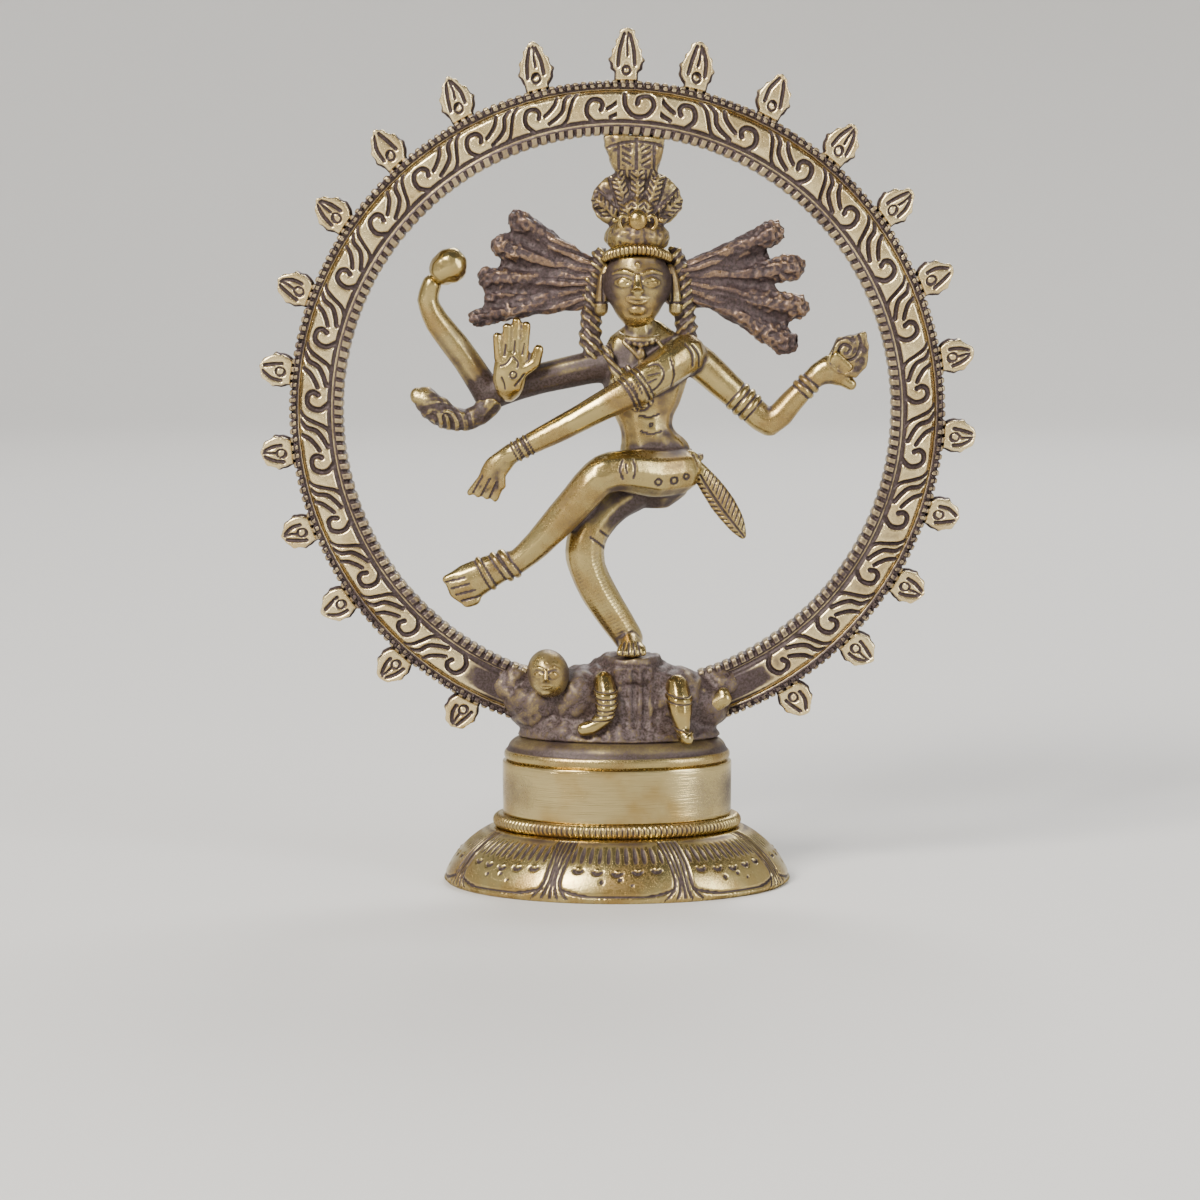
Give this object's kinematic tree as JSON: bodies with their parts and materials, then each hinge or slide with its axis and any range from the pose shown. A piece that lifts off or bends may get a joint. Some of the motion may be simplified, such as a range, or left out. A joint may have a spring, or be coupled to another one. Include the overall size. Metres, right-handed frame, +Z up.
{
  "type": "dancing figure statue",
  "caption": "Cast brass dancing figure inside a ring of flames, standing on a small dwarf above a hollow oval lotus pedestal.",
  "frame": {"origin": "centre of the pedestal's underside, on the table", "axes": "+Z up, +X to the viewer's right, -Y towards the viewer, who looks at the figure's face"},
  "size_m": [0.1688, 0.062, 0.2036],
  "materials": {
    "brass_aged": "cast brass, worn bright on the high places, brown in the low ones",
    "brass_polished": "polished brass with fine scratches",
    "brass_patina": "dark brown-purple patina over cast brass",
    "hair_coppery": "rough coppery patina",
    "steel_fastener": "zinc-plated steel"
  },
  "bodies": {
    "root": {"lotus_bell": "brass_aged", "rope_moulding": "brass_aged", "drum_band": "brass_polished", "cap_plate": "brass_aged", "clamp_stud": "steel_fastener", "clamp_washer": "steel_fastener", "clamp_nut": "steel_fastener", "dwarf_mound": "brass_patina", "dwarf_head": "brass_aged", "dwarf_arm": "brass_aged", "dwarf_leg": "brass_aged", "dwarf_rear_foot": "brass_aged", "arch_band": "brass_patina", "arch_outer_rim": "brass_aged", "arch_inner_rim": "brass_aged", "arch_scrolls": "brass_polished", "arch_flames": "brass_aged", "torso": "brass_aged", "head": "brass_aged", "headband": "brass_polished", "crown_cap": "brass_patina", "crown_fan": "brass_patina", "crown_bracket": "brass_patina", "crown_skull": "brass_polished", "ear_drops": "brass_aged", "side_locks": "brass_patina", "hair_fan_left": "hair_coppery", "hair_fan_right": "hair_coppery", "necklace": "brass_polished", "sacred_cord": "brass_patina", "waist_belt": "brass_patina", "sash_tail": "brass_aged", "left_arms": "brass_patina", "hand_drum": "brass_polished", "blessing_hand": "brass_polished", "cobra": "brass_patina", "right_arm": "brass_aged", "right_arm_rings": "brass_polished", "flame_hand": "brass_aged", "hand_flame": "brass_polished", "crossing_arm": "brass_aged", "crossing_armlet": "brass_polished", "wrist_bangles": "brass_polished", "drooping_hand": "brass_aged", "raised_leg": "brass_aged", "raised_anklets": "brass_polished", "raised_foot": "brass_aged", "standing_leg": "brass_aged", "standing_foot": "brass_aged"}
  },
  "joints": []
}
